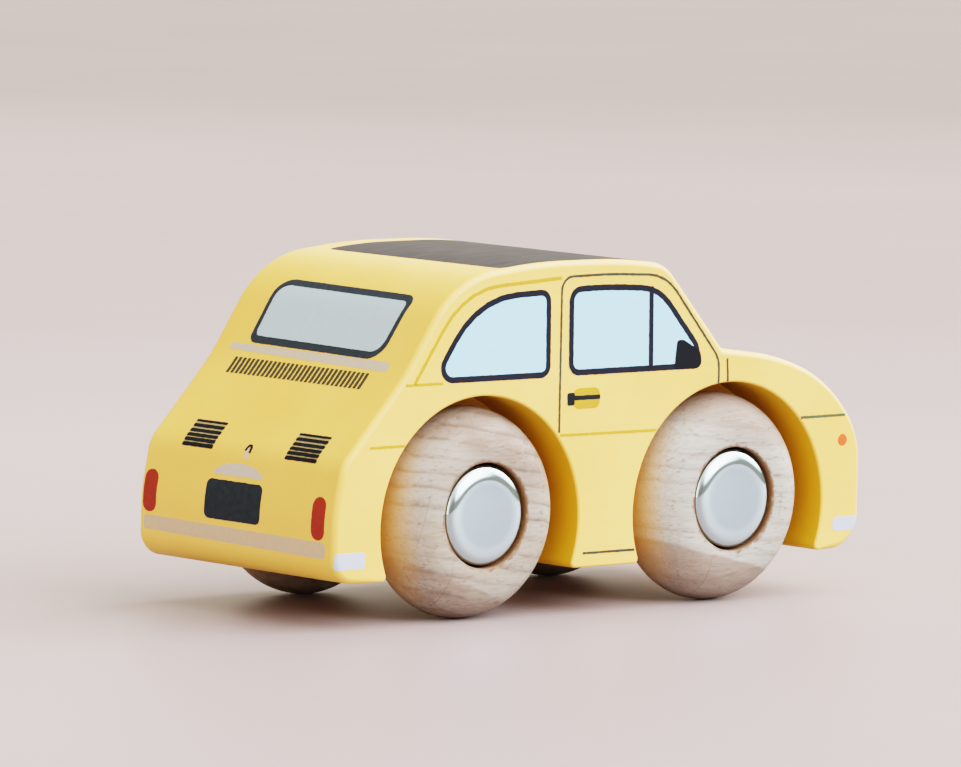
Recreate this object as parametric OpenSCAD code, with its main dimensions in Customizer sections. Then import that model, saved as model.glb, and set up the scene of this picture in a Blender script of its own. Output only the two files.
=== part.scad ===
// Small retro city car: a painted wooden block on four turned wooden wheels.
// +X points to the nose, +Y to the car's left side and +Z up.
// The origin is on the ground, under the middle of the car.

/* [Body] */
// Length of the block from tail to nose
body_length = 85.4; // [82:0.2:92]
// Width of the block across its flat sides
body_width = 38; // [34:0.5:46]
// Height of the roof above the ground
roof_height = 43.5; // [41:0.5:50]
// Height of the flat underside above the ground
ground_clearance = 5.65; // [5:0.05:7]
// Roundover along the edges of the two flat sides
edge_round = 0.8; // [0.2:0.1:1.4]

/* [Wheel pockets] */
// Radial gap between a wheel's tread and the arch of its pocket
arch_gap = 2.85; // [2:0.05:3.6]
// How far the centre of an arch lies below the axle
arch_drop = 1.2; // [0:0.1:1.6]

/* [Wheels] */
// Distance between the two axles
wheelbase = 40.3; // [38:0.1:42.5]
// Distance of the rear axle from the tail
rear_overhang = 23; // [21.5:0.1:24.5]
// Diameter of a wheel
wheel_diameter = 26; // [24:0.25:27]
// Width of a wheel along its axle
wheel_width = 9.2; // [7.5:0.1:11]
// Roundover of a wheel's outer shoulder
shoulder_round = 5.2; // [1:0.1:5.4]
// Roundover of a wheel's inner shoulder, which gives way on a narrow wheel
back_round = 3.8; // [1:0.1:4.5]
// Flat left in the middle of the tread
tread_flat = 0.2; // [0.1:0.1:2]
// How far a wheel's outer face stands out from the side of the block
wheel_proud = 1; // [0:0.1:2]

/* [Axles] */
// Diameter of an axle
axle_diameter = 4; // [3:0.1:5]
// Bevel on the ends of an axle
axle_bevel = 0.3; // [0.1:0.05:0.6]
// Radial clearance where an axle turns in wood
running_clearance = 0.08; // [0.04:0.01:0.1]
// Free side play of a wheel between its washer and the block
side_play = 0.2; // [0.1:0.05:0.4]

/* [Washers] */
// Diameter of a washer
washer_diameter = 9; // [7:0.5:12]
// Thickness of a washer
washer_thickness = 0.8; // [0.5:0.1:1.5]

/* [Hub caps] */
// Diameter of a hub cap
cap_diameter = 12.3; // [10.5:0.1:13.5]
// Height of a hub cap from its skirt's end to its top
cap_height = 4.3; // [3.6:0.1:5]
// Wall of a hub cap
cap_wall = 0.5; // [0.3:0.05:0.7]
// Round edge of a hub cap
cap_edge_round = 1.7; // [0.8:0.1:2]
// How far a hub cap's top stands out from the wheel's face
cap_proud = 0.3; // [0.1:0.1:1.2]
// Width of the lip that is turned in at the skirt's end
cap_lip = 0.4; // [0.2:0.05:0.6]
// Radial gap between a hub cap and its counterbore in the wheel
cap_gap = 0.35; // [0.3:0.05:1]
// Gap between the skirt's end and the floor of the counterbore
cap_end_gap = 0.3; // [0.2:0.05:0.6]

/* [Push nuts] */
// Thickness of a push nut
nut_thickness = 0.5; // [0.3:0.05:0.7]
// How far a push nut's teeth bite into the axle, on the radius
nut_bite = 0.05; // [0.02:0.01:0.08]
// Gap between a push nut and the inside of its cap
nut_gap = 0.05; // [0.02:0.01:0.15]
// Number of teeth on a push nut
nut_teeth = 6; // [4:1:8]
// Width of the slots between the teeth
nut_slot = 0.8; // [0.5:0.1:1.2]
// Length of the slots beyond the axle
nut_slot_reach = 1.4; // [0.8:0.1:2]

/* [Hidden] */

// Facets of round parts
$fn = 96;
// Angle between points on the outline's arcs
arc_step = 6;
// Steps across the roundover of the sides
round_steps = 4;
// Overrun of every cut
overrun = 1;

body_height = roof_height - ground_clearance;
half_body = body_width / 2;
wheel_radius = wheel_diameter / 2;
axle_radius = axle_diameter / 2;
bore_radius = axle_radius + running_clearance;
shoulder = shoulder_round;
back = min(back_round, wheel_width - tread_flat - shoulder);
arch_radius = wheel_radius + arch_gap;

// Places along X of the axles and along Y of what a wheel meets
rear_x = rear_overhang - body_length / 2;
front_x = rear_x + wheelbase;
wheel_face = half_body + wheel_proud;
wheel_back = wheel_face - wheel_width;
washer_face = wheel_back - side_play;
pocket_floor = washer_face - washer_thickness;

// Levels in a hub cap, from the wheel's face outwards
cap_radius = cap_diameter / 2;
cap_inside = cap_radius - cap_wall;
cap_ceiling = cap_proud - cap_wall;
skirt_end = cap_proud - cap_height;
lip_top = skirt_end + cap_wall;
recess_depth = cap_end_gap - skirt_end;
recess_radius = cap_radius + cap_gap;

// Corners of the side outline, from the tail's foot over the roof to the nose's foot:
// share of the length, share of the height, round as a share of the height
outline_shares = [
    [0, 0, 0.084],
    [0, 0.212, 0.446],
    [0.014, 0.381, 0.129],
    [0.123, 0.648, 0.594],
    [0.214, 0.96, 0.357],
    [0.37, 1, 1.98],
    [0.53, 1, 1.88],
    [0.612, 0.975, 0.139],
    [0.725, 0.688, 0.015],
    [0.83, 0.658, 0.892],
    [0.935, 0.569, 0.495],
    [1, 0.381, 0.258],
    [1, 0, 0.119]
];

// Name, place along X and side of each wheel
stations = [
    ["front_left", front_x, 1],
    ["front_right", front_x, -1],
    ["rear_left", rear_x, 1],
    ["rear_right", rear_x, -1]
];

function unit(v) = v / norm(v);

// Corner i of the outline before it is rounded, in X and Z
function corner(i) =
    let (share = outline_shares[(i + len(outline_shares)) % len(outline_shares)])
    [(share[0] - 1 / 2) * body_length, ground_clearance + share[1] * body_height];

// Points of the arc that rounds corner i, each with its outward normal
function corner_arc(i) =
    let (
        here = corner(i),
        back = unit(corner(i - 1) - here),
        ahead = unit(corner(i + 1) - here),
        half = acos(back * ahead) / 2,
        round = outline_shares[i][2] * body_height,
        centre = here + unit(back + ahead) * round / sin(half),
        start = here + back * round / tan(half) - centre,
        way = cross(back, ahead) > 0 ? -1 : 1,
        sweep = way * (180 - 2 * half),
        first = atan2(start[1], start[0]),
        steps = max(2, ceil(abs(sweep) / arc_step))
    )
    [for (k = [0 : steps])
        let (turn = first + sweep * k / steps, spoke = [cos(turn), sin(turn)])
        [centre + round * spoke, -way * spoke]];

// The side outline pulled in by an inset, at a place along Y
function ring(y, inset) =
    [for (p = outline) let (q = p[0] - inset * p[1]) [q[0], y, q[1]]];

outline = [for (i = [0 : len(outline_shares) - 1]) each corner_arc(i)];

// Wooden block with the outline as its side view and softly rounded side edges
module block() {
    count = len(outline);
    angles = [for (k = [0 : round_steps]) 90 * k / round_steps];
    flat = half_body - edge_round;
    right_rings = [for (k = [0 : round_steps])
        let (turn = angles[round_steps - k])
        ring(-flat - edge_round * sin(turn), edge_round * (1 - cos(turn)))];
    left_rings = [for (turn = angles)
        ring(flat + edge_round * sin(turn), edge_round * (1 - cos(turn)))];
    rings = concat(right_rings, left_rings);
    last = len(rings) - 1;
    skin = [for (j = [0 : last - 1], i = [0 : count - 1])
        let (
            next = (i + 1) % count,
            a = j * count + i,
            b = j * count + next,
            c = b + count,
            d = a + count
        )
        each [[a, d, c], [a, c, b]]];
    right_end = [for (i = [0 : count - 1]) i];
    left_end = [for (i = [count - 1 : -1 : 0]) last * count + i];
    polyhedron([for (r = rings) each r], concat([right_end, left_end], skin));
}

// Moves a piece to a wheel's outer face, with its +Z pointing away from the car
module at_wheel(station) {
    translate([station[1], station[2] * wheel_face, wheel_radius])
        rotate([-90 * station[2], 0, 0])
            children();
}

// Round-edged disc section from its axis to a radius, between two levels
module round_section(radius, bottom, top, round) {
    translate([0, bottom])
        square([radius, top - round - bottom]);
    translate([0, bottom])
        square([radius - round, top - bottom]);
    translate([radius - round, top - round])
        intersection() {
            circle(r = round);
            square(round);
        }
}

// Pocket for a wheel, open to the side and to the ground
module pocket(station) {
    depth = half_body - pocket_floor + overrun;
    translate([station[1], station[2] * pocket_floor, wheel_radius - arch_drop])
        rotate([-90 * station[2], 0, 0])
            cylinder(r = arch_radius, h = depth);
}

// Hole for an axle right through the block
module axle_hole(x) {
    translate([x, 0, wheel_radius])
        rotate([90, 0, 0])
            cylinder(r = bore_radius, h = body_width, center = true);
}

module body() {
    color([0.95, 0.87, 0.55])
        difference() {
            block();
            for (s = stations)
                pocket(s);
            for (x = [front_x, rear_x])
                axle_hole(x);
        }
}

module axle(x) {
    half_length = wheel_face + cap_ceiling;
    color("silver")
        translate([x, 0, wheel_radius])
            rotate([90, 0, 0]) {
                cylinder(r = axle_radius, h = 2 * (half_length - axle_bevel), center = true);
                for (end = [0, 180])
                    rotate([end, 0, 0])
                        translate([0, 0, half_length - axle_bevel])
                            cylinder(r1 = axle_radius, r2 = axle_radius - axle_bevel, h = axle_bevel);
            }
}

module front_axle() {
    axle(front_x);
}

module rear_axle() {
    axle(rear_x);
}

// Turned wheel with round shoulders, a bore for the axle and a counterbore for the cap
module wheel() {
    color("burlywood")
        difference() {
            rotate_extrude() {
                round_section(wheel_radius, back - wheel_width, 0, shoulder);
                mirror([0, 1])
                    round_section(wheel_radius, shoulder, wheel_width, back);
            }
            translate([0, 0, -recess_depth])
                cylinder(r = recess_radius, h = recess_depth + overrun);
            translate([0, 0, -wheel_width - overrun])
                cylinder(r = bore_radius, h = wheel_width + overrun);
        }
}

// Pressed metal cap, hollow, with its skirt's end turned in
module hub_cap() {
    color("gainsboro")
        rotate_extrude()
            difference() {
                round_section(cap_radius, skirt_end, cap_proud, cap_edge_round);
                round_section(cap_inside, lip_top, cap_ceiling, cap_edge_round - cap_wall);
                translate([0, skirt_end - overrun])
                    square([cap_inside - cap_lip, cap_wall + 2 * overrun]);
            }
}

// Spring disc with teeth that grip the axle, resting on the cap's lip
module push_nut() {
    color("dimgray")
        translate([0, 0, lip_top])
            difference() {
                cylinder(r = cap_inside - nut_gap, h = nut_thickness);
                translate([0, 0, -overrun])
                    cylinder(r = axle_radius - nut_bite, h = nut_thickness + 2 * overrun);
                for (k = [0 : nut_teeth - 1])
                    rotate([0, 0, 360 * k / nut_teeth])
                        translate([0, -nut_slot / 2, -overrun])
                            cube([axle_radius + nut_slot_reach, nut_slot, nut_thickness + 2 * overrun]);
            }
}

// Thin washer on the pocket's floor
module washer() {
    color("whitesmoke")
        translate([0, 0, pocket_floor - wheel_face])
            difference() {
                cylinder(d = washer_diameter, h = washer_thickness);
                translate([0, 0, -overrun])
                    cylinder(r = bore_radius, h = washer_thickness + 2 * overrun);
            }
}

body();
front_axle();
rear_axle();
for (s = stations) {
    at_wheel(s) wheel();
    at_wheel(s) hub_cap();
    at_wheel(s) push_nut();
    at_wheel(s) washer();
}
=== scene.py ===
import math

import bmesh
import bpy
import numpy as np
from mathutils import Matrix, Vector, noise
from mathutils.geometry import delaunay_2d_cdt


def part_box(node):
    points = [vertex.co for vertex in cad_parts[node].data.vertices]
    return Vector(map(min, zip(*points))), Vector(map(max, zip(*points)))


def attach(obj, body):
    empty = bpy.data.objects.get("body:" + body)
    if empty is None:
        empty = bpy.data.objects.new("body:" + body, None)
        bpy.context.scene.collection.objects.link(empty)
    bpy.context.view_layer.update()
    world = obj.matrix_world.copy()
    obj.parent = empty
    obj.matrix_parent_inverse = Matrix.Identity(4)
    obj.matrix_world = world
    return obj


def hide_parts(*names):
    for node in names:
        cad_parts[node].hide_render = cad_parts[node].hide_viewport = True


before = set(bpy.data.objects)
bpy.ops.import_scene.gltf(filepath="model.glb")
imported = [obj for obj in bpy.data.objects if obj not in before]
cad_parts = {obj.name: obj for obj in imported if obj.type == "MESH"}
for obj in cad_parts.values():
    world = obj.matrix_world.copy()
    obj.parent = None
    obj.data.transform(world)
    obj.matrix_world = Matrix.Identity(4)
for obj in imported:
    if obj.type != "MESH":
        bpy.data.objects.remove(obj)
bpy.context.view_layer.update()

MM = 0.001


# Sizes taken from the frame

def box_mm(node):
    low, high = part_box(node)
    return low / MM, high / MM


body_low, body_high = box_mm("body")
wheel_low, wheel_high = box_mm("wheel_rear_right")
cap_low, cap_high = box_mm("hub_cap_rear_right")
front_low, front_high = box_mm("wheel_front_right")

BODY_LENGTH = body_high.x - body_low.x
BODY_HEIGHT = body_high.z - body_low.z
HALF_BODY = body_high.y
UNDERSIDE = body_low.z
WHEEL_RADIUS = (wheel_high.z - wheel_low.z) / 2
WHEEL_WIDTH = wheel_high.y - wheel_low.y
WHEEL_FACE = -wheel_low.y
AXLE_HEIGHT = (wheel_high.z + wheel_low.z) / 2
REAR_X = (wheel_high.x + wheel_low.x) / 2
FRONT_X = (front_high.x + front_low.x) / 2
AXLES_X = (FRONT_X, REAR_X)
CAP_RADIUS = (cap_high.z - cap_low.z) / 2
CAP_HEIGHT = cap_high.y - cap_low.y
CAP_PROUD = -cap_low.y - WHEEL_FACE

# Sizes of the wood and metal that the boxes do not give
EDGE_ROUND = 0.8
ARCH_RADIUS = WHEEL_RADIUS + 2.7
ARCH_LEVEL = AXLE_HEIGHT - 1.2
ARCH_EDGE_ROUND = 0.3
ARCH_FOOT_ROUND = 0.6
POCKET_FLOOR = 9.8
BORE_RADIUS = 2.08
SHOULDER_ROUND = 5.2
BACK_ROUND = 3.8
RECESS_RADIUS = CAP_RADIUS + 0.3
RECESS_DEPTH = 4.3
RECESS_LIP = 0.26
CAP_EDGE = 2.1
CAP_DROP = 1.0
CAP_CROWN = 0.1
CAP_WALL = 0.5

# Side outline of the block: share of the length, share of the height, round as a share of the height
OUTLINE_SHARES = (
    (0, 0, 0.084), (0, 0.212, 0.446), (0.014, 0.381, 0.129), (0.123, 0.648, 0.594), (0.214, 0.96, 0.357),
    (0.37, 1, 1.98), (0.53, 1, 1.88), (0.612, 0.975, 0.139), (0.725, 0.688, 0.015), (0.83, 0.658, 0.892),
    (0.935, 0.569, 0.495), (1, 0.381, 0.258), (1, 0, 0.119),
)
OUTLINE_STEP = 0.6
OUTLINE_TURN = 6
NEARLY_STRAIGHT = 1e-6


# Outlines as points with normals

def spoke(turn):
    """Unit vector at an angle."""
    return Vector((math.cos(turn), math.sin(turn)))


def around(items):
    """Each item of a closed loop, between the one before it and the one after it."""
    return zip(items[-1:] + items[:-1], items, items[1:] + items[:1])


def corner_arc(before, corner, after, radius, step=12, longest=None):
    """Points of the arc that rounds a corner, each with the normal on the left of the path.

    The steps turn by at most `step` degrees and, if it is given, are at most `longest` long.
    """
    here = Vector(corner)
    back = (Vector(before) - here).normalized()
    ahead = (Vector(after) - here).normalized()
    half = back.angle(ahead) / 2
    if radius <= 0 or half > math.pi / 2 - NEARLY_STRAIGHT:
        across = (ahead - back).normalized()
        return [(here, Vector((-across.y, across.x)))]
    centre = here + (back + ahead).normalized() * (radius / math.sin(half))
    start = here + back * (radius / math.tan(half)) - centre
    way = -1 if back.cross(ahead) > 0 else 1
    sweep = way * (math.pi - 2 * half)
    first = math.atan2(start.y, start.x)
    steps = max(2, math.ceil(abs(sweep) / math.radians(step)))
    if longest:
        steps = max(steps, math.ceil(abs(sweep) * radius / longest))
    turns = [first + sweep * k / steps for k in range(steps + 1)]
    return [(centre + radius * spoke(turn), -way * spoke(turn)) for turn in turns]


def rounded(corners):
    """Closed outline of corners (u, v, radius), with the corners rounded."""
    points = []
    for before, (u, v, radius), after in around(corners):
        points += [p for p, _ in corner_arc(before[:2], (u, v), after[:2], radius)]
    return points


def rounded_path(corners):
    """Open line through corners (u, v, radius), with the inner corners rounded."""
    points = [Vector(corners[0][:2])]
    for before, (u, v, radius), after in zip(corners, corners[1:], corners[2:]):
        points += [p for p, _ in corner_arc(before[:2], (u, v), after[:2], radius)]
    points.append(Vector(corners[-1][:2]))
    return points


def block_outline():
    """Tail foot over the roof to nose foot, as (point, normal) pairs in X and Z at short steps."""
    corners = [
        (body_low.x + a * BODY_LENGTH, UNDERSIDE + b * BODY_HEIGHT, r * BODY_HEIGHT)
        for a, b, r in OUTLINE_SHARES
    ]
    pairs = []
    for before, (x, z, radius), after in around(corners):
        arc = corner_arc(before[:2], (x, z), after[:2], radius, OUTLINE_TURN, OUTLINE_STEP)
        if pairs:
            (p, n), (q, m) = pairs[-1], arc[0]
            count = math.ceil((q - p).length / OUTLINE_STEP)
            shares = [k / count for k in range(1, count)]
            pairs += [(p.lerp(q, t), n.lerp(m, t).normalized()) for t in shares]
        pairs += arc
    return pairs


OUTLINE = block_outline()
# Rows of the outline as numbers, x, z and the normal's x and z, and their distances along it
SKIN = np.array([(p.x, p.y, n.x, n.y) for p, n in OUTLINE])
SKIN_S = np.concatenate([[0], np.cumsum(np.hypot(np.diff(SKIN[:, 0]), np.diff(SKIN[:, 1])))])
ROOF_TOP = int(np.argmax(SKIN[:, 1]))
ROOF_SLOPE = 0.8


def nose_s(z):
    """Distance along the outline of a height on the nose, bonnet or windscreen."""
    return float(np.interp(-z, -SKIN[ROOF_TOP:, 1], SKIN_S[ROOF_TOP:]))


def roof_s(x):
    """Distance along the outline of a place along the roof, measured from the rear axle."""
    on_roof = SKIN[:, 3] > ROOF_SLOPE
    return float(np.interp(x + REAR_X, SKIN[on_roof, 0], SKIN_S[on_roof]))


# Mapping of flat drawings onto the block

def nearest_edge(x, z):
    """Normal of the side's nearest edge at each place, the depth inside it and the edge's rounding."""
    near = np.hypot(x[:, None] - SKIN[None, :, 0], z[:, None] - SKIN[None, :, 1]).argmin(1)
    normal = SKIN[near, 2:]
    depth = (SKIN[near, 0] - x) * normal[:, 0] + (SKIN[near, 1] - z) * normal[:, 1]
    radius = np.full(len(x), EDGE_ROUND)
    for arch_x in AXLES_X:
        away = np.stack([x - arch_x, z - ARCH_LEVEL], 1)
        reach = np.hypot(away[:, 0], away[:, 1])
        at_arch = reach < ARCH_RADIUS + ARCH_EDGE_ROUND
        normal = np.where(at_arch[:, None], -away / reach[:, None], normal)
        depth = np.where(at_arch, reach - ARCH_RADIUS, depth)
        radius = np.where(at_arch, ARCH_EDGE_ROUND, radius)
    return normal, depth, radius


def on_side(side):
    """Maps (distance ahead of the rear axle, height) onto a side of the block and its rounded edges."""
    def place(uv, lift):
        uv = np.asarray(uv, float)
        x, z = uv[:, 0] + REAR_X, uv[:, 1]
        normal, depth, radius = nearest_edge(x, z)
        outward = np.clip((radius - depth) / radius, 0, 1)
        upward = np.sqrt(1 - outward**2)
        y = HALF_BODY - radius + (radius + lift) * upward
        out = lift * outward
        return np.stack([x + out * normal[:, 0], side * y, z + out * normal[:, 1]], 1)

    return place


def on_skin(uv, lift):
    """Maps (place across the car, distance along the outline) onto the tail, roof and nose."""
    uv = np.asarray(uv, float)
    y, s = uv[:, 0], uv[:, 1]
    short = np.clip(EDGE_ROUND - HALF_BODY + np.abs(y), 0, EDGE_ROUND)
    rise = lift - EDGE_ROUND + np.sqrt(EDGE_ROUND**2 - short**2)
    x, z, normal_x, normal_z = (np.interp(s, SKIN_S, SKIN[:, k]) for k in range(4))
    return np.stack([x + rise * normal_x, y, z + rise * normal_z], 1)


# Mesh helpers

SHARP_ANGLE = math.radians(50)
LATHE_TURNS = 144
SAME_POINT = 1e-7


class Shell:
    """Faces given by their corner points; points that coincide become one vertex."""

    DIGITS = 4

    def __init__(self):
        self.vertices, self.faces, self.known = [], [], {}

    def vertex(self, point):
        key = tuple(round(c, self.DIGITS) for c in point)
        if key not in self.known:
            self.known[key] = len(self.vertices)
            self.vertices.append(key)
        return self.known[key]

    def face(self, points):
        corners = [self.vertex(p) for p in points]
        corners = [a for a, b in zip(corners, corners[1:] + corners[:1]) if a != b]
        if len(corners) > 2:
            self.faces.append(corners)

    def strip(self, first, second, closed=False):
        """Quads between two rows of points."""
        count = len(first)
        for i in range(count if closed else count - 1):
            j = (i + 1) % count
            self.face([first[i], first[j], second[j], second[i]])


def new_object(name, vertices, faces, material, smooth=True):
    """Object of a mesh given in millimetres, with its faces turned outwards."""
    mesh = bpy.data.meshes.new(name)
    mesh.from_pydata([Vector(v) * MM for v in vertices], [], faces)
    mesh.update()
    tidy = bmesh.new()
    tidy.from_mesh(mesh)
    bmesh.ops.recalc_face_normals(tidy, faces=tidy.faces)
    tidy.to_mesh(mesh)
    tidy.free()
    mesh.polygons.foreach_set("use_smooth", [smooth] * len(mesh.polygons))
    if smooth:
        mesh.set_sharp_from_angle(angle=SHARP_ANGLE)
    mesh.materials.append(material)
    piece = bpy.data.objects.new(name, mesh)
    bpy.context.scene.collection.objects.link(piece)
    return piece


def weight_normals(piece):
    """Keeps large flat faces flat beside their roundovers."""
    modifier = piece.modifiers.new("even_normals", "WEIGHTED_NORMAL")
    modifier.mode = "FACE_AREA"
    modifier.weight = 100
    modifier.keep_sharp = True


def lathe(name, section, closed, material, centre, side):
    """Turns a section of (radius, height along the axle) pairs about the axle."""
    rows = []
    for k in range(LATHE_TURNS):
        way = spoke(2 * math.pi * k / LATHE_TURNS)
        rows.append([(radius * way.x, side * height, radius * way.y) for radius, height in section])
    shell = Shell()
    for row, following in zip(rows, rows[1:] + rows[:1]):
        shell.strip(row, following, closed)
    piece = new_object(name, shell.vertices, shell.faces, material)
    piece.location = Vector(centre) * MM
    weight_normals(piece)
    return piece


def inside(points, contours):
    """Even-odd test of points against closed contours."""
    points = np.asarray(points, float)
    crossings = np.zeros(len(points), int)
    for contour in contours:
        a = np.array([tuple(p) for p in contour], float)
        b = np.roll(a, -1, 0)
        low, high = a[:, 1][None], b[:, 1][None]
        level = points[:, 1][:, None]
        spans = (low > level) != (high > level)
        rise = np.where(high == low, 1, high - low)
        meet = a[:, 0][None] + (b[:, 0] - a[:, 0])[None] * (level - low) / rise
        crossings += (spans & (points[:, 0][:, None] < meet)).sum(1)
    return crossings % 2 == 1


def fill(contours, grid=None):
    """Points and triangles of the even-odd area of contours.

    A grid spacing adds points inside the area, where it has to bend.
    """
    vertices, edges = [], []
    for contour in contours:
        first, count = len(vertices), len(contour)
        vertices += contour
        edges += [(first + i, first + (i + 1) % count) for i in range(count)]
    if grid:
        corners = np.array([tuple(p) for p in vertices])
        low, high = corners.min(0), corners.max(0)
        us, vs = (np.arange(low[k] + grid / 2, high[k], grid) for k in (0, 1))
        dots = np.array([(u, v) for u in us for v in vs]).reshape(-1, 2)
        if len(dots):
            gap = np.hypot(*(dots[:, None, :] - corners[None, :, :]).transpose(2, 0, 1)).min(1)
            vertices += [Vector(d) for d in dots[inside(dots, contours) & (gap > grid / 3)]]
    flat, _, triangles, *_ = delaunay_2d_cdt(vertices, edges, [], 1, SAME_POINT)
    flat = np.array([tuple(p) for p in flat])
    kept = inside(flat[np.array(triangles)].mean(1), contours)
    return flat, [tuple(t) for t, good in zip(triangles, kept) if good]


# Printing: thin ink films with slightly uneven edges

INK_SINK = 0.05
INK_STEP = 0.25
INK_BLEED = 0.045
INK_GRID = 0.9
EDGE_GRID = 0.3
# Waves per millimetre of the uneven edges, the fine waves' share of the coarse ones, and their own seed
COARSE_WAVES, FINE_WAVES, FINE_SHARE, FINE_SEED = 1.7, 4.1, 0.7, 9
SHORTEST_STEP = 1e-6


def uneven(contour, seed):
    """Splits a contour into short steps and moves them a little, as ink does on wood."""
    points = []
    for a, b in zip(contour, contour[1:] + contour[:1]):
        count = max(1, round((b - a).length / INK_STEP))
        points += [a.lerp(b, k / count) for k in range(count)]
    moved = []
    for p, q in zip(points, points[1:] + points[:1]):
        across = Vector((q.y - p.y, p.x - q.x))
        if across.length < SHORTEST_STEP:
            continue
        coarse = noise.noise(Vector((p.x * COARSE_WAVES, p.y * COARSE_WAVES, seed)))
        fine = noise.noise(Vector((p.x * FINE_WAVES, p.y * FINE_WAVES, seed + FINE_SEED)))
        moved.append(p + across.normalized() * INK_BLEED * (coarse + FINE_SHARE * fine))
    return moved


def ink_film(name, contours, place, material, lift, grid=None):
    """Closed thin film over the even-odd area of contours, mapped onto the block."""
    flat, triangles = fill(contours, grid)
    used = sorted({i for t in triangles for i in t})
    index = {old: new for new, old in enumerate(used)}
    faces = [tuple(index[i] for i in t) for t in triangles]
    count = len(used)
    edges = {(a, b) for t in faces for a, b in zip(t, t[1:] + t[:1])}
    walls = [(b, a, a + count, b + count) for a, b in sorted(edges) if (b, a) not in edges]
    under = [tuple(i + count for i in reversed(t)) for t in faces]
    vertices = np.vstack([place(flat[used], lift), place(flat[used], -INK_SINK)])
    film = new_object(name, vertices, faces + under + walls, material, smooth=False)
    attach(film, "chassis")


def grown(contour, distance):
    """A clockwise contour moved along its own normals, outwards for a positive distance."""
    moved = []
    for before, here, after in around(contour):
        along = (after - before).normalized()
        moved.append(here + Vector((-along.y, along.x)) * distance)
    return moved


def line(path, width):
    """Contour of a line of a width along a path, with square ends."""
    path = [Vector(p) for p in path]
    left, right = [], []
    for before, here, after in zip(path[:1] + path[:-1], path, path[1:] + path[-1:]):
        along = (after - before).normalized()
        across = Vector((-along.y, along.x)) * (width / 2)
        left.append(here + across)
        right.append(here - across)
    return left + right[::-1]


def bar(u0, v0, u1, v1, radius=0.0):
    """Clockwise upright rectangle between two corners."""
    return rounded([(u0, v0, radius), (u0, v1, radius), (u1, v1, radius), (u1, v0, radius)])


def disc(u, v, radius, steps=48):
    """Clockwise circle."""
    return [Vector((u, v)) + radius * spoke(-2 * math.pi * k / steps) for k in range(steps)]


def dome(u, v, half_width, height, steps=24):
    """Clockwise upper half of an ellipse."""
    turns = [math.pi * (1 - k / steps) for k in range(steps + 1)]
    return [Vector((u + half_width * math.cos(t), v + height * math.sin(t))) for t in turns]


# Materials: texture scales are per metre along the grain, across it and up, and lengths are in metres

PAINT_FIBRES, PAINT_CLOUDS, PAINT_RELIEF = (90, 1500, 1500), (60, 60, 60), 0.08 * MM
INK_FIBRES, INK_SPECKLE, INK_RELIEF = (160, 1500, 1500), (2500, 2500, 2500), 0.06 * MM
WOOD_CLOUDS, WOOD_MOTTLE = (45, 150, 190), (260, 800, 800)
WOOD_FIBRES, WOOD_FLECKS, WOOD_RELIEF = (260, 3200, 3200), (560, 2800, 2800), 0.1 * MM
RING_SCALE, RING_BEND, RING_STRETCH, RING_FADING = 165.0, 3.4, (0.4, 1, 1), (50, 90, 260)
CRACK_SCALE, CRACK_BEND, CRACK_STRETCH, CRACK_PATCHES = 62.0, 1.6, (1, 1, 0.5), (150, 150, 150)
# Waves, wave height and strength of the late-wood zone and of the painted shade at each wheel's top
LATE_AND_SHADE_WAVES, LATE_AND_SHADE_WAVE_HEIGHT, LATE_AND_SHADE_STRENGTH = (90, 90, 90), 1.2 * MM, 0.85
SCORCH_RAGS, SCORCH_WIDTH = (700, 700, 700), 1.6 * MM
CAP_MARKS, METAL_RELIEF = (900, 900, 900), 0.02 * MM
NYLON_CLOUDS = (300, 300, 300)
FLOOR_CLOUDS = (9, 9, 9)


def srgb(red, green, blue):
    """Linear colour of an 8-bit screen colour."""
    def linear(c):
        c /= 255
        return c / 12.92 if c <= 0.04045 else ((c + 0.055) / 1.055) ** 2.4
    return (linear(red), linear(green), linear(blue), 1)


def grey(level):
    """Linear grey."""
    return (level, level, level, 1)


def darkened(colour, share):
    """A colour with its light cut to a share."""
    return tuple(c * share for c in colour[:3]) + (1,)


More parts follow.
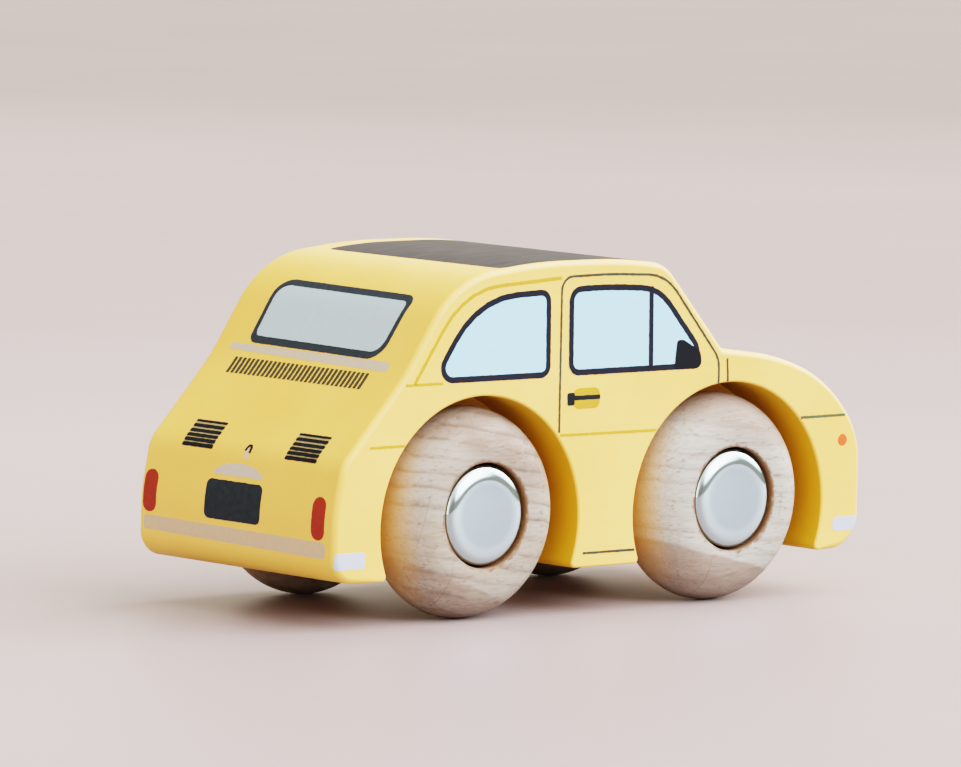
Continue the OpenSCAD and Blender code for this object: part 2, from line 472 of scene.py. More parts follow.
class Nodes:
    """Short ways to add nodes to a node tree and to link them."""

    def __init__(self, tree):
        self.tree = tree

    def add(self, kind, **settings):
        node = self.tree.nodes.new(kind)
        for key, value in settings.items():
            setattr(node, key, value)
        return node

    def feed(self, socket, source):
        """Links an output to a socket, or sets a plain value on it."""
        if isinstance(source, bpy.types.NodeSocket):
            self.tree.links.new(source, socket)
        else:
            socket.default_value = source

    def fill(self, node, **values):
        """Feeds a node's sockets by name, with _ for a space."""
        for key, value in values.items():
            self.feed(node.inputs[key.replace("_", " ")], value)
        return node

    def place(self, scale, turn=(0, 0, 0), shift=(0, 0, 0)):
        """Object coordinates, turned and scaled per axis, for grain that runs one way."""
        mapping = self.add("ShaderNodeMapping")
        point = self.add("ShaderNodeTexCoord").outputs["Object"]
        self.fill(mapping, Vector=point, Scale=scale, Rotation=turn, Location=shift)
        return mapping.outputs["Vector"]

    def noise(self, vector, detail=4.0, rough=0.55):
        """Soft noise between 0 and 1."""
        texture = self.add("ShaderNodeTexNoise")
        self.fill(texture, Vector=vector, Scale=1.0, Detail=detail, Roughness=rough)
        return texture.outputs["Fac"]

    def wave(self, axis, scale, distortion, vector):
        """Saw waves along an axis, bent a little."""
        texture = self.add("ShaderNodeTexWave", bands_direction=axis, wave_profile="SAW")
        self.fill(texture, Vector=vector, Scale=scale, Distortion=distortion)
        self.fill(texture, Detail=2.0, Detail_Scale=1.2)
        return texture.outputs["Fac"]

    def ramp(self, value, stops):
        """Colour ramp of (place, colour) stops."""
        node = self.add("ShaderNodeValToRGB")
        elements = node.color_ramp.elements
        while len(elements) < len(stops):
            elements.new(0.5)
        for element, (place, colour) in zip(elements, stops):
            element.position = place
            element.color = colour
        self.feed(node.inputs["Fac"], value)
        return node.outputs["Color"]

    def span(self, value, low, high, out_low, out_high):
        """A value moved from one range to another, and held inside it."""
        node = self.add("ShaderNodeMapRange")
        self.fill(node, Value=value, From_Min=low, From_Max=high, To_Min=out_low, To_Max=out_high)
        return node.outputs["Result"]

    def mix(self, factor, first, second):
        """Mix of two colours; the node keeps its colour sockets at these places."""
        node = self.add("ShaderNodeMix", data_type="RGBA")
        for place, source in ((0, factor), (6, first), (7, second)):
            self.feed(node.inputs[place], source)
        return node.outputs[2]

    def sum(self, kind, *sources):
        """One of the plain sums of the Math node."""
        node = self.add("ShaderNodeMath", operation=kind)
        for socket, source in zip(node.inputs, sources):
            self.feed(socket, source)
        return node.outputs["Value"]


class Surface(Nodes):
    """A material with a principled shader."""

    def __init__(self, name, roughness, specular=0.5, metallic=0.0):
        self.material = bpy.data.materials.new(name)
        self.material.use_nodes = True
        super().__init__(self.material.node_tree)
        self.shader = self.tree.nodes["Principled BSDF"]
        self.shader.inputs["Roughness"].default_value = roughness
        self.shader.inputs["Specular IOR Level"].default_value = specular
        self.shader.inputs["Metallic"].default_value = metallic

    def colour(self, source):
        self.feed(self.shader.inputs["Base Color"], source)

    def roughness(self, source):
        self.feed(self.shader.inputs["Roughness"], source)

    def bump(self, height, strength, distance):
        """Relief of a height texture."""
        node = self.add("ShaderNodeBump")
        self.fill(node, Height=height, Strength=strength, Distance=distance)
        self.feed(self.shader.inputs["Normal"], node.outputs["Normal"])


def paint(name, pale, deep, streak):
    """Satin paint over sanded wood, with the wood's fibres faintly showing."""
    surface = Surface(name, 0.5, specular=0.9)
    fibres = surface.noise(surface.place(PAINT_FIBRES), detail=5)
    clouds = surface.noise(surface.place(PAINT_CLOUDS), detail=3)
    tone = surface.ramp(clouds, [(0.35, deep), (0.65, pale)])
    surface.colour(surface.mix(surface.span(fibres, 0.35, 0.7, 0.0, 0.16), tone, streak))
    surface.roughness(surface.span(clouds, 0.3, 0.7, 0.46, 0.56))
    surface.bump(fibres, 0.2, PAINT_RELIEF)
    return surface.material


def ink(name, colour, shade=0.9, roughness=0.45, specular=0.3):
    """Screen-printed ink: a matt film whose cover varies a little with the wood below."""
    surface = Surface(name, roughness, specular)
    darker = darkened(colour, shade)
    fibres = surface.noise(surface.place(INK_FIBRES))
    speckle = surface.noise(surface.place(INK_SPECKLE), detail=2)
    cover = surface.mix(surface.span(fibres, 0.35, 0.65, 0, 1), colour, darker)
    surface.colour(surface.mix(surface.span(speckle, 0.55, 0.75, 0, 0.6), cover, darker))
    surface.roughness(surface.span(fibres, 0.3, 0.7, roughness - 0.06, roughness + 0.06))
    surface.bump(fibres, 0.15, INK_RELIEF)
    return surface.material


BEECH_LIGHT, BEECH_MID, BEECH_LINE = srgb(175, 176, 172), srgb(156, 149, 140), srgb(105, 86, 72)
# The golden end colour is partly end grain, partly painted yellow bounce light from the pockets
BEECH_FLECK, BEECH_WARM, BEECH_END_AND_BOUNCE = srgb(89, 68, 55), srgb(152, 134, 117), srgb(207, 154, 77)
# The darker late-wood colour low on each wheel also serves as painted shade at each wheel's top under the
# arch
BEECH_LATE_AND_SHADE, SCORCH = srgb(137, 117, 106), srgb(114, 80, 55)


def beech(name, turn, shift, level, painted_shade_crown, warmth):
    """Bare sanded beech with growth lines, mottling, flecks, cracks and a scorched recess; painted shade
    darkens its top under the arch, and painted yellow bounce light warms its rim over the end grain where
    it faces along the car.

    The grain's turn, shift, levels and warmth are those of WHEEL_GRAIN.
    """
    turn, shift = (0, math.radians(turn), 0), (shift, shift, shift)
    surface = Surface(name, 0.55, specular=0.3)
    clouds = surface.noise(surface.place(WOOD_CLOUDS, turn, shift), detail=3)
    wood = surface.mix(surface.span(clouds, 0.35, 0.62, 0.4 * warmth, warmth), BEECH_LIGHT, BEECH_WARM)
    # Late wood low down, and painted shade at the top of the wheel under the arch
    wood = surface.mix(late_wood_and_arch_shade(surface, turn, level, painted_shade_crown), wood, BEECH_LATE_AND_SHADE)
    wood = surface.mix(growth_lines(surface, turn, shift, 0.2 + 0.75 * warmth), wood, BEECH_LINE)
    mottle = surface.noise(surface.place(WOOD_MOTTLE, turn, shift), detail=3, rough=0.7)
    wood = surface.mix(surface.span(mottle, 0.46, 0.62, 0.0, 0.2 + 0.4 * warmth), wood, BEECH_MID)
    fibres = surface.noise(surface.place(WOOD_FIBRES, turn, shift), detail=3)
    wood = surface.mix(surface.span(fibres, 0.45, 0.75, 0, 0.3), wood, BEECH_LINE)
    flecks = surface.noise(surface.place(WOOD_FLECKS, turn, shift), detail=2)
    wood = surface.mix(surface.span(flecks, 0.6, 0.68, 0, 0.4), wood, BEECH_FLECK)
    wood = surface.mix(cracks(surface, turn, shift), wood, BEECH_FLECK)
    # Warmer golden rim fore and aft: end grain and painted bounce light from the yellow pockets
    wood = surface.mix(end_grain_and_bounce(surface), wood, BEECH_END_AND_BOUNCE)
    surface.colour(surface.mix(scorch(surface), wood, SCORCH))
    surface.roughness(surface.span(fibres, 0.3, 0.7, 0.48, 0.64))
    surface.bump(fibres, 0.3, WOOD_RELIEF)
    return surface.material


def growth_lines(surface, turn, shift, strength):
    """Strength of the growth lines: thin, soft on one side, some of them faint."""
    rings = surface.wave("Z", RING_SCALE, RING_BEND, surface.place(RING_STRETCH, turn, shift))
    lines = surface.ramp(rings, [
        (0.0, grey(1)), (0.1, grey(0.8)), (0.26, grey(0.3)),
        (0.6, grey(0.06)), (0.9, grey(0.2)), (1.0, grey(0.7)),
    ])
    faint = surface.noise(surface.place(RING_FADING, turn, shift), detail=1)
    return surface.sum("MULTIPLY", lines, surface.span(faint, 0.42, 0.6, strength, 0.35 * strength))


def late_wood_and_arch_shade(surface, turn, level, painted_shade_crown):
    """Strength of the broad darker late-wood zone below a level and, softer, of the painted shade above a
    crown where the arch shades the wheel's top, both with wavy edges.
    """
    split = surface.fill(surface.add("ShaderNodeSeparateXYZ"), Vector=surface.place((1, 1, 1), turn))
    waves = surface.noise(surface.place(LATE_AND_SHADE_WAVES, turn), detail=3)
    height = surface.sum("MULTIPLY_ADD", waves, LATE_AND_SHADE_WAVE_HEIGHT, split.outputs["Z"])
    edge, top = level * MM + LATE_AND_SHADE_WAVE_HEIGHT / 2, painted_shade_crown * MM + LATE_AND_SHADE_WAVE_HEIGHT / 2
    below = surface.span(height, edge - 0.25 * MM, edge + 0.1 * MM, LATE_AND_SHADE_STRENGTH, 0.0)
    # Painted shade: darker towards the wheel's top, where the arch shades it
    painted_arch_shade = surface.span(height, top, top + 2.5 * MM, 0.0, LATE_AND_SHADE_STRENGTH)
    return surface.sum("MAXIMUM", below, painted_arch_shade)


def cracks(surface, turn, shift):
    """Strength of a few fine cracks across the grain, here and there."""
    splits = surface.wave("X", CRACK_SCALE, CRACK_BEND, surface.place(CRACK_STRETCH, turn, shift))
    patches = surface.noise(surface.place(CRACK_PATCHES, turn, shift), detail=1)
    thin, here = surface.span(splits, 0, 0.035, 1, 0), surface.span(patches, 0.52, 0.62, 0, 0.5)
    return surface.sum("MULTIPLY", thin, here)


def end_grain_and_bounce(surface):
    """Strength of the warmer golden tone where the wheel's rim faces along the car: partly end grain,
    partly painted yellow bounce light from the pocket walls.
    """
    split = surface.add("ShaderNodeSeparateXYZ")
    surface.fill(split, Vector=surface.add("ShaderNodeTexCoord").outputs["Normal"])
    along = surface.sum("ABSOLUTE", split.outputs["X"])
    return surface.span(along, 0.52, 0.98, 0, 0.68)


def from_axle(surface):
    """Distance of a place on a wheel or cap from the axle's line."""
    length = surface.add("ShaderNodeVectorMath", operation="LENGTH")
    surface.feed(length.inputs[0], surface.place((1, 0, 1)))
    return length.outputs["Value"]


def scorch(surface):
    """Strength of the scorch on the wall of the recess and, raggedly, round its mouth."""
    ragged = surface.noise(surface.place(SCORCH_RAGS), detail=4, rough=0.7)
    reach = surface.sum("MULTIPLY_ADD", ragged, -SCORCH_WIDTH, from_axle(surface))
    edge = RECESS_RADIUS * MM - 0.6 * MM
    return surface.span(reach, edge - 0.1 * MM, edge + 0.25 * MM, 0.9, 0.0)


def metal(name, colour, roughness, marks_scale):
    """Bare metal with faint rolling marks."""
    surface = Surface(name, roughness, metallic=1.0)
    marks = surface.noise(surface.place(marks_scale), detail=3)
    surface.colour(surface.mix(marks, colour, darkened(colour, 0.94)))
    surface.roughness(surface.span(marks, 0.3, 0.7, roughness * 0.8, roughness * 1.25))
    surface.bump(marks, 0.05, METAL_RELIEF)
    return surface.material


# Cap colours by distance from the axle: the face's metal, a painted highlight on the rolled ring, and a
# darker painted reflection at the rim that also tints the rolling marks
CAP_FACE = (0.485, 0.66, 0.76, 1)
CAP_PAINTED_HIGHLIGHT = (0.62, 0.84, 0.95, 1)
CAP_RIM_REFLECTION_AND_MARKS = (0.48, 0.6, 0.64, 1)


def polished_cap():
    """Pressed cap: polished metal with faint rolling marks, a painted highlight as a brighter ring where
    its edge rolls over, and a darker painted reflection at the outer rim.
    """
    surface = Surface("cap_metal", 0.08, metallic=1.0)
    marks = surface.noise(surface.place(CAP_MARKS), detail=3)
    share = surface.span(from_axle(surface), 0, CAP_RADIUS * MM, 0, 1)
    # Painted highlight on the rolled ring and painted reflection at the rim
    tone = surface.ramp(share, [(0.6, CAP_FACE), (0.73, CAP_PAINTED_HIGHLIGHT), (0.8, CAP_PAINTED_HIGHLIGHT), (0.9, CAP_RIM_REFLECTION_AND_MARKS)])
    surface.colour(surface.mix(surface.span(marks, 0, 1, 0, 0.1), tone, CAP_RIM_REFLECTION_AND_MARKS))
    surface.roughness(surface.span(marks, 0.3, 0.7, 0.064, 0.1))
    surface.bump(marks, 0.05, METAL_RELIEF)
    return surface.material


def nylon():
    """Natural nylon, faintly clouded."""
    surface = Surface("washer_nylon", 0.5)
    clouds = surface.noise(surface.place(NYLON_CLOUDS))
    surface.colour(surface.mix(clouds, srgb(222, 218, 206), srgb(206, 201, 188)))
    surface.roughness(surface.span(clouds, 0.3, 0.7, 0.42, 0.58))
    return surface.material


YELLOW = paint("yellow_paint", srgb(248, 192, 91), srgb(246, 186, 83), srgb(238, 174, 67))
# Painted shade: the pockets get a deeper, more orange copy of the yellow paint, standing in for the shade
# and yellow bounce light inside them
POCKET_PAINTED_SHADE = paint("pocket_painted_shade", srgb(225, 170, 35), srgb(219, 163, 30), srgb(203, 143, 22))
NAVY = ink("ink_navy", srgb(28, 31, 44), shade=0.75, specular=0.15)
REAR_NAVY = ink("ink_rear_navy", srgb(47, 57, 66), shade=0.8, specular=0.15)
SKY = ink("ink_sky", srgb(158, 215, 255), shade=0.97)
GREY_GLASS = ink("ink_grey_glass", srgb(167, 188, 200), shade=0.96)
BLACK = ink("ink_black", srgb(27, 31, 33), shade=0.7, specular=0.15)
MIRROR_BLACK = ink("ink_mirror_black", srgb(18, 22, 29), shade=0.75, specular=0.15)
PLATE_BLACK = ink("ink_plate_black", srgb(41, 50, 58), shade=0.75, specular=0.15)
OLIVE = ink("ink_olive", srgb(62, 64, 46), shade=0.8)
SAGE = ink("ink_sage", srgb(82, 91, 62), shade=0.85)
MUSTARD = ink("ink_mustard", srgb(192, 148, 46), shade=0.88)
SILVER = ink("ink_silver", srgb(188, 176, 157), shade=0.95)
LAMP_SILVER = ink("ink_lamp_silver", srgb(193, 184, 174), shade=0.95)
VENT_TAN = ink("ink_vent_tan", srgb(160, 142, 100), shade=0.9)
TAN = ink("ink_tan", srgb(198, 172, 145), shade=0.95)
PALE = ink("ink_pale", srgb(178, 192, 216), shade=0.97)
RED = ink("ink_red", srgb(153, 46, 29), shade=0.85)
ORANGE = ink("ink_orange", srgb(250, 90, 46), shade=0.92)
ROOF = ink("ink_roof", srgb(63, 61, 62), shade=0.88, roughness=0.65, specular=0.08)
CHROME = polished_cap()
STEEL = metal("axle_steel", srgb(190, 192, 196), 0.3, (2000, 40, 2000))
SPRING = metal("spring_steel", srgb(110, 112, 118), 0.35, (1200, 1200, 1200))
NYLON = nylon()


# The block

FOOT_STEPS, ARCH_STEPS, EDGE_STEPS = 6, 56, 6


def arch_edge(x):
    """One wheel arch from its front foot to its rear foot, as (point, normal) pairs in X and Z."""
    centre = Vector((x, ARCH_LEVEL))
    foot_level = UNDERSIDE + ARCH_FOOT_ROUND
    reach = math.sqrt((ARCH_RADIUS + ARCH_FOOT_ROUND) ** 2 - (ARCH_LEVEL - foot_level) ** 2)
    low = math.atan2(foot_level - ARCH_LEVEL, reach)
    front = []
    for k in range(FOOT_STEPS):
        turn = -math.pi / 2 + (low - math.pi / 2) * k / FOOT_STEPS
        front.append((Vector((x + reach, foot_level)) + ARCH_FOOT_ROUND * spoke(turn), spoke(turn)))
    rear = [(Vector((2 * x - p.x, p.y)), Vector((-n.x, n.y))) for p, n in reversed(front)]
    turns = [low + (math.pi - 2 * low) * k / ARCH_STEPS for k in range(ARCH_STEPS + 1)]
    return front + [(centre + ARCH_RADIUS * spoke(t), -spoke(t)) for t in turns] + rear


def at_side(points, y):
    """Points of X and Z at a place across the car."""
    return [(p.x, y, p.y) for p in points]


def side_rings(loop, side):
    """Rows of points from a flat side over its rounded edge, for a loop of (point, normal, round)."""
    rings = []
    for k in range(EDGE_STEPS + 1):
        turn = math.pi / 2 * (1 - k / EDGE_STEPS)
        row = []
        for p, n, radius in loop:
            q = p - n * (radius * (1 - math.cos(turn)))
            row.append((q.x, side * (HALF_BODY - radius + radius * math.sin(turn)), q.y))
        rings.append(row)
    return rings


def add_pocket(shell, arch, x, side, mouth):
    """Wall and drilled floor of a wheel pocket; returns its corners on the underside."""
    floor = [p for p, _ in arch]
    wall = at_side(floor, side * POCKET_FLOOR)
    shell.strip(mouth, wall)
    flat, triangles = fill([floor, disc(x, AXLE_HEIGHT, BORE_RADIUS)])
    for t in triangles:
        shell.face([(flat[i][0], side * POCKET_FLOOR, flat[i][1]) for i in t])
    return [mouth[0], wall[0], wall[-1], mouth[-1]]


def block_shell():
    """Shell of the block, and the places of its pockets' faces in it."""
    arches = [arch_edge(x) for x in AXLES_X]
    top, size = len(OUTLINE), len(arches[0])
    loop = [(p, n, EDGE_ROUND) for p, n in OUTLINE]
    loop += [(p, n, ARCH_EDGE_ROUND) for arch in arches for p, n in arch]
    shell = Shell()
    edges, underside, pockets = {}, [], []
    for side in (1, -1):
        rings = side_rings(loop, side)
        shell.face(rings[0])
        for row, following in zip(rings, rings[1:]):
            shell.strip(row, following, closed=True)
        edges[side] = rings[-1][:top]
        half = [rings[-1][top - 1]]
        for k, (arch, x) in enumerate(zip(arches, AXLES_X)):
            start = len(shell.faces)
            mouth = rings[-1][top + k * size : top + (k + 1) * size]
            half += add_pocket(shell, arch, x, side, mouth)
            pockets += range(start, len(shell.faces))
        half.append(rings[-1][0])
        underside += half if side > 0 else half[::-1]
    shell.strip(edges[1], edges[-1])
    shell.face(underside)
    for x in AXLES_X:
        bore = disc(x, AXLE_HEIGHT, BORE_RADIUS)
        shell.strip(at_side(bore, POCKET_FLOOR), at_side(bore, -POCKET_FLOOR), closed=True)
    return shell, pockets


def make_block():
    """Painted block: rounded edges, four pockets, two drilled holes and a flat underside."""
    shell, pockets = block_shell()
    block = new_object("painted_block", shell.vertices, shell.faces, YELLOW)
    # The pocket faces take the deeper paint of painted shade
    block.data.materials.append(POCKET_PAINTED_SHADE)
    for i in pockets:
        block.data.polygons[i].material_index = 1
    weight_normals(block)
    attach(block, "chassis")
    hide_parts("body")


# Wheels, caps and hidden metal

LIP_STEPS, SHOULDER_STEPS, BACK_STEPS = 5, 24, 18
FACE_STEPS, RIM_STEPS, INNER_RIM_STEPS = 8, 24, 10


def section_arc(centre_r, centre_h, radius, start, end, steps):
    """Points of an arc in a lathe section, by angles in degrees."""
    turns = [math.radians(start + (end - start) * k / steps) for k in range(steps + 1)]
    return [(centre_r + radius * math.cos(t), centre_h + radius * math.sin(t)) for t in turns]


def wheel_section():
    """Half section of a wheel, with the outer face at height 0."""
    section = [(BORE_RADIUS, -RECESS_DEPTH), (RECESS_RADIUS, -RECESS_DEPTH)]
    section += section_arc(RECESS_RADIUS + RECESS_LIP, -RECESS_LIP, RECESS_LIP, 180, 90, LIP_STEPS)
    shoulder, back = WHEEL_RADIUS - SHOULDER_ROUND, WHEEL_RADIUS - BACK_ROUND
    section += section_arc(shoulder, -SHOULDER_ROUND, SHOULDER_ROUND, 90, 0, SHOULDER_STEPS)
    section += section_arc(back, BACK_ROUND - WHEEL_WIDTH, BACK_ROUND, 0, -90, BACK_STEPS)
    section += [(BORE_RADIUS, -WHEEL_WIDTH)]
    return section


def rim(radius, height, reach, drop, steps):
    """Quarter of an ellipse from a cap's flat face over its edge."""
    turns = [math.pi / 2 * k / steps for k in range(steps + 1)]
    return [(radius + reach * math.sin(t), height - drop * (1 - math.cos(t))) for t in turns]


def cap_section():
    """Half section of a pressed cap, from the middle of its face to the middle of its inside."""
    flat = CAP_RADIUS - CAP_EDGE
    shoulder = CAP_PROUD - CAP_CROWN
    bottom = CAP_PROUD - CAP_HEIGHT
    inner = CAP_RADIUS - CAP_WALL
    shares = [k / FACE_STEPS for k in range(FACE_STEPS)]
    section = [(flat * t, CAP_PROUD - CAP_CROWN * t**2) for t in shares]
    section += rim(flat, shoulder, CAP_EDGE, CAP_DROP, RIM_STEPS)
    section += [(CAP_RADIUS, bottom), (inner, bottom)]
    section += rim(flat, shoulder - CAP_WALL, CAP_EDGE - CAP_WALL, CAP_DROP, INNER_RIM_STEPS)[::-1]
    section += [(0, shoulder - CAP_WALL)]
    return section


# Grain of each wheel: turn about the axle in degrees, a shift that gives it its own pattern, the level from
# the middle of its lower darker late-wood zone and of its upper painted shade under the arch, and the
# strength of its warm clouds
WHEEL_GRAIN = {
    "front_left": (24, 0.31, -8.0, 9.0, 0.6), "front_right": (-15, 0.57, -7.2, 6.8, 0.25),
    "rear_left": (-30, 0.83, -10.0, 7.5, 0.7), "rear_right": (-22, 0.12, -8.6, 5.2, 0.85),
}


def make_wheel(name):
    """A wheel and its cap, both turned about the axle."""
    side = 1 if name.endswith("left") else -1
    x = FRONT_X if name.startswith("front") else REAR_X
    face = (x, side * WHEEL_FACE, AXLE_HEIGHT)
    wood = beech("beech_" + name, *WHEEL_GRAIN[name])
    wheel = lathe("turned_wheel_" + name, wheel_section(), True, wood, face, side)
    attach(wheel, name + "_wheel")
    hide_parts("wheel_" + name)
    cap = lathe("pressed_cap_" + name, cap_section(), False, CHROME, face, side)
    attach(cap, name.split("_")[0] + "_axle_set")
    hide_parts("hub_cap_" + name)


def dress_hidden_metal():
    """Materials of the carried-over axles, push nuts and washers."""
    for node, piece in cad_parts.items():
        for word, material in (("axle", STEEL), ("push_nut", SPRING), ("washer", NYLON)):
            if word in node:
                piece.data.materials.clear()
                piece.data.materials.append(material)


# Print on the sides: places are distances ahead of the rear axle and heights above the ground.
# A corner is (place, height, round), a bar is two opposite corners and their round, a disc has a radius.

LIFT_GLASS, LIFT_FRAME, LIFT_TOP = 0.02, 0.035, 0.05
FRAME_WIDTH, DIVIDER_WIDTH = 0.74, 0.7
FINE_LINE, NOSE_LINE_WIDTH, SILL_LINE_WIDTH = 0.31, 0.34, 0.3
PILLAR_LINE_WIDTH, BELT_LINE_WIDTH = 0.42, 0.32
SIDE_SEED = 3
QUARTER_WINDOW = [(-8.5, 29.26, 1.9), (-1.5, 39.72, 12.5), (10.45, 40.2, 1.6), (10.6, 29.29, 1.5)]
DOOR_WINDOW = [
    (13.55, 29.37, 1.6), (13.4, 40.33, 1.9), (20.0, 40.46, 60), (28.2, 39.95, 6.7), (34.6, 32.6, 2.0),
    (35.5, 29.42, 1.0),
]
WINDOW_DIVIDER = [(26.88, 29.7), (26.71, 39.9)]
MIRROR = [
    (30.72, 29.45, 0.1), (31.15, 33.15, 0.5), (32.35, 33.0, 0.6), (34.2, 32.0, 0.3), (34.95, 31.5, 0.3),
    (35.45, 29.45, 0.9),
]
DOOR_LINE = [
    (12.2, 22.45, 0), (12.17, 41.55, 1.8), (20.0, 41.66, 60), (29.1, 41.25, 6.5), (38.15, 30.5, 3.2),
    (38.15, 27.45, 0),
]
WING_LINE = [(39.54, 30.5), (39.7, 27.6)]
NOSE_LINE = [(52.1, 22.5), (59.6, 22.57)]
SILL_LINE = [(16.45, 7.41), (24.85, 7.43)]
PILLAR_LINE = [(-10.9, 29.4, 0), (-3.3, 40.5, 11.6), (12.1, 41.45, 0)]
BELT_LINES = [
    [(-17.7, 21.96), (-12.05, 22.0)], [(12.4, 22.12), (28.25, 22.07)], [(-12.3, 29.27), (-6.5, 29.31)],
]
HANDLE_SHADE = (14.4, 25.25, 18.65, 27.8, 0.85)
HANDLE = (14.2, 26.33, 18.75, 26.9, 0.15)
HANDLE_END = (13.42, 25.72, 14.6, 27.3, 0.3)
SIDE_LAMP = (59.23, 19.38, 0.75)
BUMPER_END_FRONT = (57.9, 7.95, 62.25, 9.7, 0.45)
BUMPER_END_REAR = (-22.75, 7.45, -18.2, 9.45, 0.45)


def print_side(side):
    """Windows, lines, handle, lamp and bumper ends of one side."""
    place = on_side(side)
    name = "left" if side > 0 else "right"

    def film(title, contours, material, lift, grid=None):
        rough = [uneven(c, side * SIDE_SEED + len(title)) for c in contours]
        ink_film(title + "_" + name, rough, place, material, lift, grid)

    windows = [rounded(QUARTER_WINDOW), rounded(DOOR_WINDOW)]
    film("window_panes", [grown(w, -FRAME_WIDTH / 2) for w in windows], SKY, LIFT_GLASS)
    film("window_frames", windows + [grown(w, -FRAME_WIDTH) for w in windows], NAVY, LIFT_FRAME)
    film("window_divider", [line(WINDOW_DIVIDER, DIVIDER_WIDTH)], NAVY, LIFT_TOP)
    film("door_mirror", [rounded(MIRROR)], MIRROR_BLACK, LIFT_TOP)
    film("door_line", [line(rounded_path(DOOR_LINE), FINE_LINE)], OLIVE, LIFT_FRAME)
    film("wing_line", [line(WING_LINE, FINE_LINE)], OLIVE, LIFT_FRAME)
    film("nose_line", [line(NOSE_LINE, NOSE_LINE_WIDTH)], SAGE, LIFT_FRAME, EDGE_GRID)
    film("sill_line", [line(SILL_LINE, SILL_LINE_WIDTH)], OLIVE, LIFT_FRAME)
    film("pillar_line", [line(rounded_path(PILLAR_LINE), PILLAR_LINE_WIDTH)], MUSTARD, LIFT_FRAME)
    film("belt_lines", [line(path, BELT_LINE_WIDTH) for path in BELT_LINES], MUSTARD, LIFT_FRAME)
    film("handle_shade", [bar(*HANDLE_SHADE)], MUSTARD, LIFT_GLASS)
    film("handle", [bar(*HANDLE)], BLACK, LIFT_FRAME)
    film("handle_end", [bar(*HANDLE_END)], BLACK, LIFT_TOP)
    film("side_lamp", [disc(*SIDE_LAMP)], ORANGE, LIFT_FRAME)
    film("bumper_end_front", [bar(*BUMPER_END_FRONT)], PALE, LIFT_FRAME, EDGE_GRID)
    film("bumper_end_rear", [bar(*BUMPER_END_REAR)], PALE, LIFT_FRAME, EDGE_GRID)


# Print on the tail: places across the car, and distances along the outline from the tail's foot

REAR_PANE_INSET = 0.525
REAR_WINDOW = [(-12.8, 31.9, 2.8), (-13.1, 41.45, 1.5), (13.0, 41.85, 2.5), (12.8, 32.2, 1.4)]
REAR_OPENING = [(-12.05, 32.93, 1.9), (-12.35, 40.42, 0.9), (12.3, 40.82, 1.8), (12.1, 33.23, 0.9)]
REAR_STRIP = [(-15.2, 30.45, 0.45), (-15.2, 31.85, 0.45), (15.6, 31.95, 0.45), (15.6, 30.98, 0.45)]
SLAT_COUNT, SLAT_WIDTH, SLAT_ROUND = 31, 0.53, 0.1
SLAT_ENDS = (-12.15, 13.17)
SLAT_LOW, SLAT_HIGH = 27.55, 30.0
# Each vent's lines: distance along the outline and width; the pale back stands in from their ends
VENT_LINES = ((16.4, 0.55), (17.08, 0.53), (17.74, 0.52), (18.44, 0.53), (19.2, 0.53), (19.92, 0.38))
VENT_PLACES = ((-13.65, -7.6), (6.35, 12.35))
VENT_ROUND, VENT_BACK_INSET = 0.4, 0.1
PLATE = (-4.68, 7.74, 6.1, 12.6, 0.85)
PLATE_LAMP = (0.36, 13.25, 4.7, 1.57)
TAIL_LAMPS = ((-17.05, 7.01, -14.57, 12.24, 1.15), (15.6, 7.45, 18.15, 12.7, 1.15))
REAR_BUMPER = [(-17.3, 4.8, 0.6), (-17.3, 6.8, 0.6), (17.9, 7.05, 0.5), (17.9, 5.3, 0.5)]
LATCH = [(0.08, 16.5), (-0.08, 17.05), (-0.32, 17.3), (-0.62, 17.28), (-0.82, 17.0), (-0.84, 16.3)]
LATCH_TAB = [(-0.4, 16.9), (-0.5, 15.35)]
LATCH_WIDTH, LATCH_TAB_WIDTH = 0.38, 0.62


def print_skin(title, contours, material, lift):
    """One film on the tail, roof or nose."""
    rough = [uneven(c, len(title)) for c in contours]
    ink_film(title, rough, on_skin, material, lift, grid=INK_GRID)


def print_tail():
    """Rear window, slats, vents, bare plate, lamps and bumper."""
    window = rounded(REAR_WINDOW)
    print_skin("rear_window_pane", [grown(window, -REAR_PANE_INSET)], GREY_GLASS, LIFT_GLASS)
    print_skin("rear_window_frame", [window, rounded(REAR_OPENING)], REAR_NAVY, LIFT_FRAME)
    print_skin("rear_strip", [rounded(REAR_STRIP)], SILVER, LIFT_GLASS)
    slats = [
        bar(y - SLAT_WIDTH / 2, SLAT_LOW, y + SLAT_WIDTH / 2, SLAT_HIGH, SLAT_ROUND)
        for y in np.linspace(*SLAT_ENDS, SLAT_COUNT)
    ]
    print_skin("air_slats", slats, OLIVE, LIFT_FRAME)
    low, high = VENT_LINES[0][0], VENT_LINES[-1][0]
    backs = [bar(y0 + VENT_BACK_INSET, low, y1 - VENT_BACK_INSET, high) for y0, y1 in VENT_PLACES]
    print_skin("vent_backs", backs, VENT_TAN, LIFT_GLASS)
    vents = [
        bar(y0, s - width / 2, y1, s + width / 2, width * VENT_ROUND)
        for y0, y1 in VENT_PLACES for s, width in VENT_LINES
    ]
    print_skin("engine_vents", vents, BLACK, LIFT_FRAME)
    print_skin("number_plate", [bar(*PLATE)], PLATE_BLACK, LIFT_FRAME)
    print_skin("plate_lamp", [dome(*PLATE_LAMP)], LAMP_SILVER, LIFT_FRAME)
    print_skin("latch_tab", [line(LATCH_TAB, LATCH_TAB_WIDTH)], LAMP_SILVER, LIFT_FRAME)
    print_skin("latch", [line(LATCH, LATCH_WIDTH)], BLACK, LIFT_TOP)
    print_skin("tail_lamps", [bar(*lamp) for lamp in TAIL_LAMPS], RED, LIFT_FRAME)
    print_skin("rear_bumper", [rounded(REAR_BUMPER)], TAN, LIFT_GLASS)


# Print on the roof: places across the car and ahead of the rear axle

